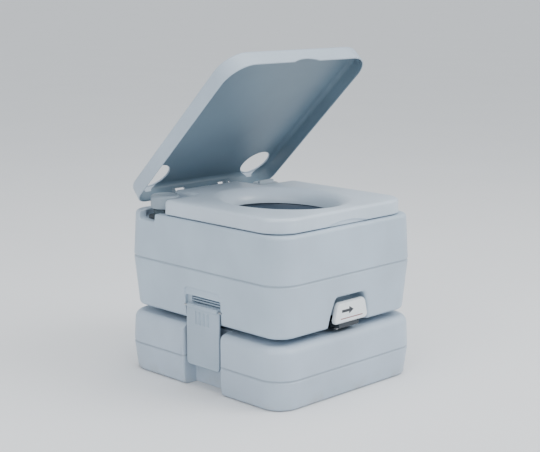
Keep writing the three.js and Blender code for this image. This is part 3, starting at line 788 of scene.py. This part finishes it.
top = SEAT_HIGH.z
SEAT_LEVELS = (ease_out((SEAT_LOW.z, 4.0), (SEAT_LOW.z + 2.8, 0), 6)
               + ease_in((top - 7.5, 0.5), (top - 0.9, 8), 8) + [(top - 0.25, 15), (top, 24)])
seat = stack("seat_ring", raised(SEAT_LEVELS, seat_outline))
hollow = stack("hollow", raised([(300, 4), (top - 8, 7)], seat_outline))
carve(hollow, funnel(4.5))
carve(seat, hollow, funnel(0),
      arch("thumb", SEAT_LOW.z, 7, 52, [(-215, 2.4), (-194, 2.4), (-193.1, 0.7), (-192, 0), (-191.4, -1)]))
for side in SIDES:
    low, high = sorted((side * 46, side * 54))
    join(seat, block("tongue", low, high, SEAT_BACK - 6, HINGE.y, HINGE.z - 6, HINGE.z + 6, soft=1.0, mark=1),
         rod("knuckle", (0, HINGE.y, HINGE.z), 7, low, high, 64, axis="X", mark=1))
carve(seat, rod("pin_bore", (0, HINGE.y, HINGE.z), 3.3, -80, 80, 48, axis="X"))
complete(seat, [seat_plastic, hinge_plastic], "seat", "seat", "seat")

# %% [markdown]
# ## The lid
# The lid is a shallow tray. It is easiest to draw closed, flat on the seat, and to swing open
# about the hinge at the end. The tool that hollows it has its own material number, so every
# face that it cuts takes a dark slate colour, painted shade for the lid's underside. Two round
# holes let the pump head and the filler cap stand through it.

# %% Lid, drawn closed
LID_FOOT, LID_TOP, LID_BACK = DECK + 2, DECK + 35, HINGE.y - 12
LID_OUTLINE = [(177, -203, 52), (177, LID_BACK, 30), (-177, LID_BACK, 30), (-177, -203, 52)]


def lid_outline(inset):
    return soft_polygon(LID_OUTLINE, -inset, steps=18)


LID_LEVELS = ease_out((LID_FOOT, 1.3), (LID_FOOT + 1.5, 0), 4) + ease_in((LID_TOP - 10, 1), (LID_TOP, 11), 9)
TRAY_LEVELS = ([(LID_FOOT - 6, 2.3), (LID_FOOT, 2.3), (LID_FOOT + 0.6, 3.0), (LID_FOOT + 1.6, 3.5)]
               + ease_in((LID_TOP - 12, 4.6), (LID_TOP - 3.5, 13), 8))
lid = stack("lid_shell", raised(LID_LEVELS, lid_outline))
# The tray's faces take the second material, the painted shade of the underside.
carve(lid, stack("tray", raised(TRAY_LEVELS, lid_outline), mark=1))
carve(lid, arch("thumb", LID_FOOT, 6, 32, [(-215, 1.6), (-203, 1.6), (-202.6, 0.5), (-201.8, 0), (-200.8, 0),
                                           (-200, 0.5), (-199.5, 1.6), (-180, 1.6)]))
inner, outer = LID_TOP - 3.5, LID_TOP
for side in SIDES:
    hole = [(0, 326), (34.2, 326), (34.2, inner), (33.0, inner + 0.4), (32.5, inner + 1.2),
            (32.5, outer - 1.2), (33.0, outer - 0.4), (34.2, outer), (34.2, 350), (0, 350)]
    low, high = sorted((side * 43, side * 77))
    carve(lid, turned("hole", hole, (side * POST.x, POST.y + 2, 0), 96),
          block("gap", low, high, LID_BACK - 5, LID_BACK + 12, LID_FOOT - 1, HINGE.z + 12, soft=2))
    low, high = sorted((side * 66, side * 74))
    arm = [(HINGE.y - 2, 310, 1), (HINGE.y + 1, 319, 1), (LID_BACK + 1, 334, 1), (LID_BACK - 5, 338, 0.6),
           (LID_BACK - 5.5, 334, 0.6), (LID_BACK, 314, 0.6)]
    join(lid, slab("arm", soft_polygon(arm, steps=4), low, high, axis="X", mark=1),
         rod("knuckle", (0, HINGE.y, HINGE.z), 7, low, high, 64, axis="X", mark=1))
carve(lid, rod("pin_bore", (0, HINGE.y, HINGE.z), 3.3, -80, 80, 48, axis="X"))
print("lid:", len(lid.data.polygons), "faces")

# %% Swing the lid open
hinge_point = HINGE * MM
swing = math.radians(JOINTS["lid_hinge"]["range_deg"][0])
lid.data.transform(Matrix.Translation(hinge_point) @ Matrix.Rotation(swing, 4, "X")
                   @ Matrix.Translation(-hinge_point))
complete(lid, [lid_plastic, lid_lining], "lid", "lid", "lid")

# %% [markdown]
# ## The bowl
# The bowl is one smooth funnel that turns from a wide oval at the top to a round outlet. Its
# sizes are known at six heights. They are blended to many, then evened out with their
# neighbours, which takes the corners out of the curve. The skin runs up the outside, over
# the flange and down the inside.

# %% Bowl
BOWL_SIZES = [(135, 46, 46, 0), (150, 46, 46, 0), (165, 53, 59, -6), (200, 73, 86, -18),
              (250, 92, 109, -27), (302.5, 98, 116, BOWL_Y)]
LAYERS = 46
bowl_rings = []
for i in range(LAYERS + 1):
    z = 135 + (302.5 - 135) * i / LAYERS
    bowl_rings.append([z] + [along([(size[0], size[k]) for size in BOWL_SIZES], z) for k in (1, 2, 3)])
for _ in range(5):
    bowl_rings = [bowl_rings[0]] + [
        [here[0]] + [(a + 2 * b + c) / 4 for a, b, c in zip(last[1:], here[1:], following[1:])]
        for last, here, following in zip(bowl_rings, bowl_rings[1:], bowl_rings[2:])] + [bowl_rings[-1]]

skin = [[(x, y, z) for x, y in oval(a + 3.2, b + 3.2, cy)] for z, a, b, cy in bowl_rings if z < 301]
for z, reach in ((301.8, 3.6), (301.8, 11.0), (302.2, 11.5), (304.1, 11.5), (304.7, 10.9), (304.7, 3.6),
                 (304.4, 2.2), (303.8, 1.0), (303.0, 0.3)):
    skin.append([(x, y, z) for x, y in oval(98 + reach, 116 + reach)])
skin += [[(x, y, z) for x, y in oval(a, b, cy)] for z, a, b, cy in reversed(bowl_rings)]
bowl = stack("bowl_funnel", skin, closed=True)
carve(bowl, rod("nozzle_hole", (0, 0, 280), 7, 60, 112, 48, axis="Y"))
complete(bowl, bowl_plastic, "flush", "bowl", "bowl")

# %% [markdown]
# ## Side clasps
# Each clasp is a plate on a barrel. It swings out from the bottom, and its hook catches a
# keeper on the waste tank. Three short ribs with grooves between them give grip, and a faint
# ring is moulded on its face.

# %% Clasps
ring = [(9, 0), (9.6, 0.35), (10.6, 0.35), (11.2, 0), (11.2, -2), (9, -2)]
for side, name in zip(SIDES, ("left", "right")):
    def across(a, b):
        return sorted((side * a, side * b))

    outline = soft_polygon(four_sided(-50, 36, 41, 150, 7, 4))
    plate = slab(f"clasp_{name}_plate", outline, *across(172.5, 177.5), axis="X", soft=1.5)
    join(plate, rod("barrel", (side * CLASP.x, 0, CLASP.z), 4.6, -47, 33, 48, axis="Y"),
         block("hook", *across(169.3, 175), -27, 13, 43, 49, soft=1.2),
         turned("ring", [(r, side * x) for r, x in ring], (side * 177.5, -7, 92), 72, axis="X"),
         *(block("rib", *across(175, 178.4), y - 1.3, y + 1.3, 120, 141, soft=0.9) for y in (-18, -7, 4)))
    carve(plate, rod("pin_bore", (side * CLASP.x, 0, CLASP.z), 2.3, -60, 50, 32, axis="Y"),
          *(block("groove", *across(176.2, 180), y - 1.9, y + 1.9, 119, 143, soft=0.8)
            for y in (-23.5, -12.5, -1.5, 9.5)))
    complete(plate, clasp_plastic, f"clasp_{name}", "clasp", f"clasp_{name}")

# %% [markdown]
# ## Pull handle and its label
# The handle is a small plate with a soft rim on two arms that are screwed to the blade. The
# label is a film with a rounded outline. Its print is a plain arrow and a bar, cut as thin
# shapes that stand a tenth of a millimetre proud.

# %% Handle
HANDLE_LOW, HANDLE_HIGH = corners("pull_handle")[0], corners("pull_handle")[1]
FOOT, HEAD_Z = 132, HANDLE_HIGH.z


def tapered(inset, radius):
    """The handle's outline: it narrows by a fifth from its foot to its top."""
    half = -HANDLE_LOW.x - inset
    flat = rounded_box(-half, half, FOOT + inset, HEAD_Z - inset, radius)
    return [(x * (1 - 0.2 * (z - FOOT) / (HEAD_Z - FOOT)), z) for x, z in flat]


face = HANDLE_LOW.y
handle = slab("handle_plate", tapered(0.2, 9), face, face + 7, axis="Y", soft=2.2)
# The arm and the web take the second finish, the near-black valve plastic, as painted shade in the gap behind the
# plate.
join(handle, block("arm", -26, 26, face + 4.5, -178, 122, 128, soft=1, mark=1),
     block("web", -26, 26, face + 4.5, face + 6.8, 124, 140, soft=1, mark=1))
for side in SIDES:
    carve(handle, rod("screw_hole", (side * 16, -184, 0), 2.2, 118, 126, 32))
complete(handle, [handle_plastic, valve_plastic], "gate", "tank", "pull_handle")

# %% Label and its print
LABEL_FACE = corners("handle_label")[0].y
film = slab("label", tapered(2.3, 7.5), LABEL_FACE + 0.1, LABEL_FACE + 0.8, axis="Y", soft=0.12)
complete(film, label_film, "gate", "label", "handle_label")
ARROW = [(-25, 151.4, 0.5), (-6, 151.4, 0.5), (-6, 147.0, 0.5), (6, 154, 0.7), (-6, 161.0, 0.5),
         (-6, 156.6, 0.5), (-25, 156.6, 0.5)]
arrow = slab("label_arrow", soft_polygon(ARROW, steps=3), LABEL_FACE, LABEL_FACE + 0.3, axis="Y")
complete(arrow, label_ink, "gate", "label")
bar = rounded_box(-28, 30, 139.4, 141.2, 0.8, steps=4)
stripe = slab("label_stripe", bar, LABEL_FACE, LABEL_FACE + 0.3, axis="Y")
complete(stripe, label_red, "gate", "label")

# %% [markdown]
# ## Repeats with Geometry Nodes
# Grip ribs, screws and coil springs all follow a rule, so each is a small node tree. One tree
# stands copies of a template round a circle, one on the points of a mesh, and one sweeps
# a round wire along a spiral. Each ends in a real mesh, so that the piece can be measured
# and exported.

# %% Geometry Nodes helpers
class Tree:
    """A Geometry Nodes tree with named inputs."""

    def __init__(self, name, **inputs):
        self.group = bpy.data.node_groups.new(name, "GeometryNodeTree")
        kinds = {int: "NodeSocketInt", float: "NodeSocketFloat", bpy.types.Object: "NodeSocketObject",
                 bpy.types.Material: "NodeSocketMaterial", Vector: "NodeSocketVector"}
        self.group.interface.new_socket("Geometry", in_out="INPUT", socket_type="NodeSocketGeometry")
        for title, value in inputs.items():
            kind = next(k for t, k in kinds.items() if isinstance(value, t))
            self.group.interface.new_socket(title, in_out="INPUT", socket_type=kind)
        self.group.interface.new_socket("Geometry", in_out="OUTPUT", socket_type="NodeSocketGeometry")
        self.values = inputs
        self.start = self.group.nodes.new("NodeGroupInput").outputs
        self.end = self.group.nodes.new("NodeGroupOutput").inputs

    def node(self, kind, sockets=None, **settings):
        made = self.group.nodes.new(kind)
        for key, value in settings.items():
            setattr(made, key, value)
        for key, value in (sockets or {}).items():
            if isinstance(value, bpy.types.NodeSocket):
                self.group.links.new(value, made.inputs[key])
            else:
                made.inputs[key].default_value = value
        return made.outputs

    def build(self, name, points=((0, 0, 0),)):
        """Runs the tree on a mesh of points and keeps the result as a plain mesh."""
        piece = new_object(name, points, [])
        step = piece.modifiers.new("tree", "NODES")
        step.node_group = self.group
        sockets = {item.name: item.identifier for item in self.group.interface.items_tree
                   if item.in_out == "INPUT"}
        for title, value in self.values.items():
            step[sockets[title]] = value
        shape = bpy.data.meshes.new_from_object(piece.evaluated_get(bpy.context.evaluated_depsgraph_get()))
        piece.modifiers.remove(step)
        piece.data = shape
        return outward(piece)

    def finish(self, geometry):
        solid = self.node("GeometryNodeRealizeInstances", {"Geometry": geometry})[0]
        painted = self.node("GeometryNodeSetMaterial",
                            {"Geometry": solid, "Material": self.start["Material"]})[0]
        self.group.links.new(painted, self.end["Geometry"])


def ribs_round(name, template, count, material):
    """Copies of a template turned round the Z axis through the origin."""
    tree = Tree(name + "_tree", Template=template, Count=count, Material=material)
    ring = tree.node("GeometryNodeMeshCircle", {"Vertices": tree.start["Count"], "Radius": 0.0})[0]
    index = tree.node("GeometryNodeInputIndex")[0]
    share = tree.node("ShaderNodeMath", {0: index, 1: tree.start["Count"]}, operation="DIVIDE")[0]
    angle = tree.node("ShaderNodeMath", {0: share, 1: 2 * math.pi}, operation="MULTIPLY")[0]
    turn = tree.node("ShaderNodeCombineXYZ", {"Z": angle})[0]
    shape = tree.node("GeometryNodeObjectInfo", {"Object": tree.start["Template"]})["Geometry"]
    copies = tree.node("GeometryNodeInstanceOnPoints",
                       {"Points": ring, "Instance": shape, "Rotation": turn})[0]
    tree.finish(copies)
    made = tree.build(name)
    bpy.data.objects.remove(template)
    return made


def copies_on(name, template, points, material):
    """A template stood on each of a mesh's points."""
    tree = Tree(name + "_tree", Template=template, Material=material)
    shape = tree.node("GeometryNodeObjectInfo", {"Object": tree.start["Template"]})["Geometry"]
    copies = tree.node("GeometryNodeInstanceOnPoints",
                       {"Points": tree.start["Geometry"], "Instance": shape})[0]
    tree.finish(copies)
    made = tree.build(name, points)
    bpy.data.objects.remove(template)
    return made


def coil(name, centre, radius, wire, low, high, turns, material):
    """A coil spring between two heights."""
    tree = Tree(name + "_tree", Radius=radius * MM, Wire=wire * MM, Height=(high - low - 2 * wire) * MM,
                Turns=float(turns), Material=material)
    spiral = tree.node("GeometryNodeCurveSpiral", {
        "Resolution": 40, "Rotations": tree.start["Turns"], "Start Radius": tree.start["Radius"],
        "End Radius": tree.start["Radius"], "Height": tree.start["Height"]})[0]
    wire_ring = tree.node("GeometryNodeCurvePrimitiveCircle",
                          {"Resolution": 12, "Radius": tree.start["Wire"]})[0]
    swept = tree.node("GeometryNodeCurveToMesh",
                      {"Curve": spiral, "Profile Curve": wire_ring, "Fill Caps": True})[0]
    tree.finish(swept)
    made = tree.build(name)
    made.data.transform(Matrix.Translation(Vector((centre[0], centre[1], low + wire)) * MM))
    return outward(made)


# %% [markdown]
# ## Flush pump
# Pressing the head squeezes the bellows and drives water to the bowl. The head is a turned cap
# with rings on its top. On the real pump the bellows and the spring shorten as the head goes
# down; here both are built at one length.

# %% Pump head, bellows and springs
PUMP = (-POST.x, POST.y, 0)
head_low, head_high = corners("pump_head")[0].z, corners("pump_head")[1].z
HEAD = [(0, 326), (24, 326), (24, head_low + 0.6), (24.6, head_low), (26.3, head_low), (27, head_low + 0.7)]
HEAD += [(27 - r, z) for z, r in ease_in((head_high - 5, 0), (head_high, 4.5), 8)]
HEAD += [(20.5, head_high), (19.8, head_high - 0.9), (18.4, head_high - 0.9), (17.7, head_high - 0.2),
         (13.6, head_high - 0.2), (12.9, head_high - 1.1), (11.5, head_high - 1.1), (10.8, head_high - 0.5),
         (6, head_high - 0.8), (0, head_high - 1.0)]
head = turned("pump_head_cap", HEAD, PUMP, 128)
complete(head, pump_plastic, "pump", "pump", "pump_head", sharp=50)

bellows_low, bellows_high = corners("pump_bellows")[0].z, corners("pump_bellows")[1].z
FOLDS = 4
wave = [(math.cos(2 * math.pi * FOLDS * t), bellows_low + (bellows_high - bellows_low) * t)
        for t in (i / 48 for i in range(49))]
outside = [(21.2 + 1.25 * c, z) for c, z in wave]
bellows = turned("pump_bellows_sleeve", outside + [(r - 1.7, z) for r, z in reversed(outside)], PUMP, 96)
complete(bellows, bellows_rubber, "flush", "rubber", "pump_bellows")
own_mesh(bellows)

spring = coil("pump_coil", PUMP, 12, 1.1, 219.3, 325.7, 9, stainless)
complete(spring, stainless, "flush", "steel", "pump_spring")
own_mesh(spring)
vent_coil = coil("vent_coil", (-125, 160, 0), 6.6, 0.6, 115.1, 119.7, 3, stainless)
complete(vent_coil, stainless, "waste", "steel", "vent_spring")
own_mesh(vent_coil)

# %% [markdown]
# ## Filler cap and spout
# The filler cap screws on to its neck. Its side is ribbed for grip, and a bar across the top
# gives something to turn. The pouring spout is an elbow swept along its path, with a second
# ribbed cap.

# %% Ribbed caps
def grip_rib(name, radius, low, high):
    """A half-round rib that stands on a cap's side at +X."""
    return slab(name, soft_polygon([(radius - 0.9, -0.8, 0.2), (radius, -0.8, 0.7), (radius, 0.8, 0.7),
                                    (radius - 0.9, 0.8, 0.2)], steps=3), low, high, soft=0.4)


CAP = (POST.x, POST.y, 0)
CAP_BODY = [(0, 319), (24, 319), (24, 299.5), (24.5, 299), (25.9, 299), (26.4, 299.6)]
CAP_BODY += [(26.4 - r, z) for z, r in ease_in((324.5, 0), (328, 3.4), 6)]
CAP_BODY += [(18, 328), (17.3, 327.5), (0, 327.5)]
cap = turned("filler_cap_body", CAP_BODY, CAP, 128)
join(cap, block("bar", POST.x - 20, POST.x + 20, POST.y - 4, POST.y + 4, 326.5, 333, soft=2.4))
complete(cap, cap_plastic, "filler", "pump", "filler_cap", sharp=50)
cap_ribs = ribs_round("filler_cap_ribs", grip_rib("rib", 27, 300.5, 323.5), 48, cap_plastic)
cap_ribs.data.transform(Matrix.Translation(Vector(CAP) * MM))
complete(cap_ribs, cap_plastic, "filler", "pump")

SPOUT_AXIS = pivot("spout_swivel")
SPOUT_END = pivot("spout_cap_turn")
cap_low, cap_high = corners("spout_cap")[0].x, corners("spout_cap")[1].x
SPOUT_CAP = [(0, cap_low), (24, cap_low), (26.6, cap_low + 1.2), (27.3, cap_low + 3), (27.3, cap_high - 0.6),
             (26.8, cap_high), (24.7, cap_high), (24.7, cap_low + 6), (0, cap_low + 6)]
spout_cap = turned("spout_cap_body", SPOUT_CAP, (0, SPOUT_END.y, SPOUT_END.z), 96, axis="X")
complete(spout_cap, valve_plastic, "spout_cap", "valve", "spout_cap", sharp=50)
spout_rib = grip_rib("rib", 28, 3.5, cap_high - cap_low - 1.5)
spout_ribs = ribs_round("spout_cap_ribs", spout_rib, 40, valve_plastic)
spout_ribs.data.transform(Matrix.Translation(Vector((cap_low, SPOUT_END.y, SPOUT_END.z)) * MM)
                          @ Matrix.Rotation(math.pi / 2, 4, "Y"))
complete(spout_ribs, valve_plastic, "spout_cap", "valve")

# %% Pouring spout
BEND = 26
spout_foot = corners("pouring_spout")[0].z
bend_x, bend_z = SPOUT_AXIS.x - BEND, SPOUT_AXIS.z - BEND
path = [(SPOUT_AXIS.x, spout_foot, 0.0)]
path += [(bend_x + BEND * math.cos(a), bend_z + BEND * math.sin(a), a)
         for a in (i / 16 * math.pi / 2 for i in range(17))]
path.append((SPOUT_END.x, SPOUT_AXIS.z, math.pi / 2))


def bore(radius, places):
    """Rings round the path, from its start to its end."""
    rings = []
    for x, z, lean in places:
        rings.append([(x + radius * math.cos(t) * math.cos(lean), SPOUT_AXIS.y + radius * math.sin(t),
                       z + radius * math.cos(t) * math.sin(lean))
                      for t in (2 * math.pi * i / 72 for i in range(72))])
    return rings


spout = stack("spout_elbow", bore(24, path) + bore(20, path[::-1]), closed=True)
complete(spout, valve_plastic, "spout", "valve", "pouring_spout")

# %% Valve screws
screw = turned("screw", [(0, 116.3), (1.7, 116.3), (1.7, 129.3), (3.6, 129.3), (3.55, 130.2), (2.9, 131.1),
                         (1.6, 131.4), (0, 131.4)], (0, 0, 0), 40)
carve(screw, block("slot", -2.3, 2.3, -0.4, 0.4, 130.3, 132), block("slot", -0.4, 0.4, -2.3, 2.3, 130.3, 132))
SCREW_SPOTS = [(side * 57.5, y, 0) for y in (-140, -44, 52) for side in SIDES]
screws = copies_on("valve_screws", screw, SCREW_SPOTS, stainless)
complete(screws, stainless, "waste", "steel", *(f"valve_screw_{i}" for i in range(1, 7)))

# %% [markdown]
# ## Finishes for the CAD pieces that stay
# Seals, pins, hoses and the valve's plates are shaped well enough by the CAD model. They keep
# their meshes and take the same finishes, by the material slot that the record gives them.

# %% Finishes by slot
SLOT_FINISH = {"tank": tank_plastic, "base": base_plastic, "seat": seat_plastic, "lid": lid_plastic,
               "bowl": bowl_plastic, "clasp": clasp_plastic, "pump": pump_plastic, "valve": valve_plastic,
               "label": label_film, "rubber": seal_rubber, "tube": hose_plastic, "steel": stainless}
for part in frame["record"]["subparts"]:
    for holder in frame["nodes"][part["node"]].material_slots:
        holder.material = SLOT_FINISH[part["material_slot"]]
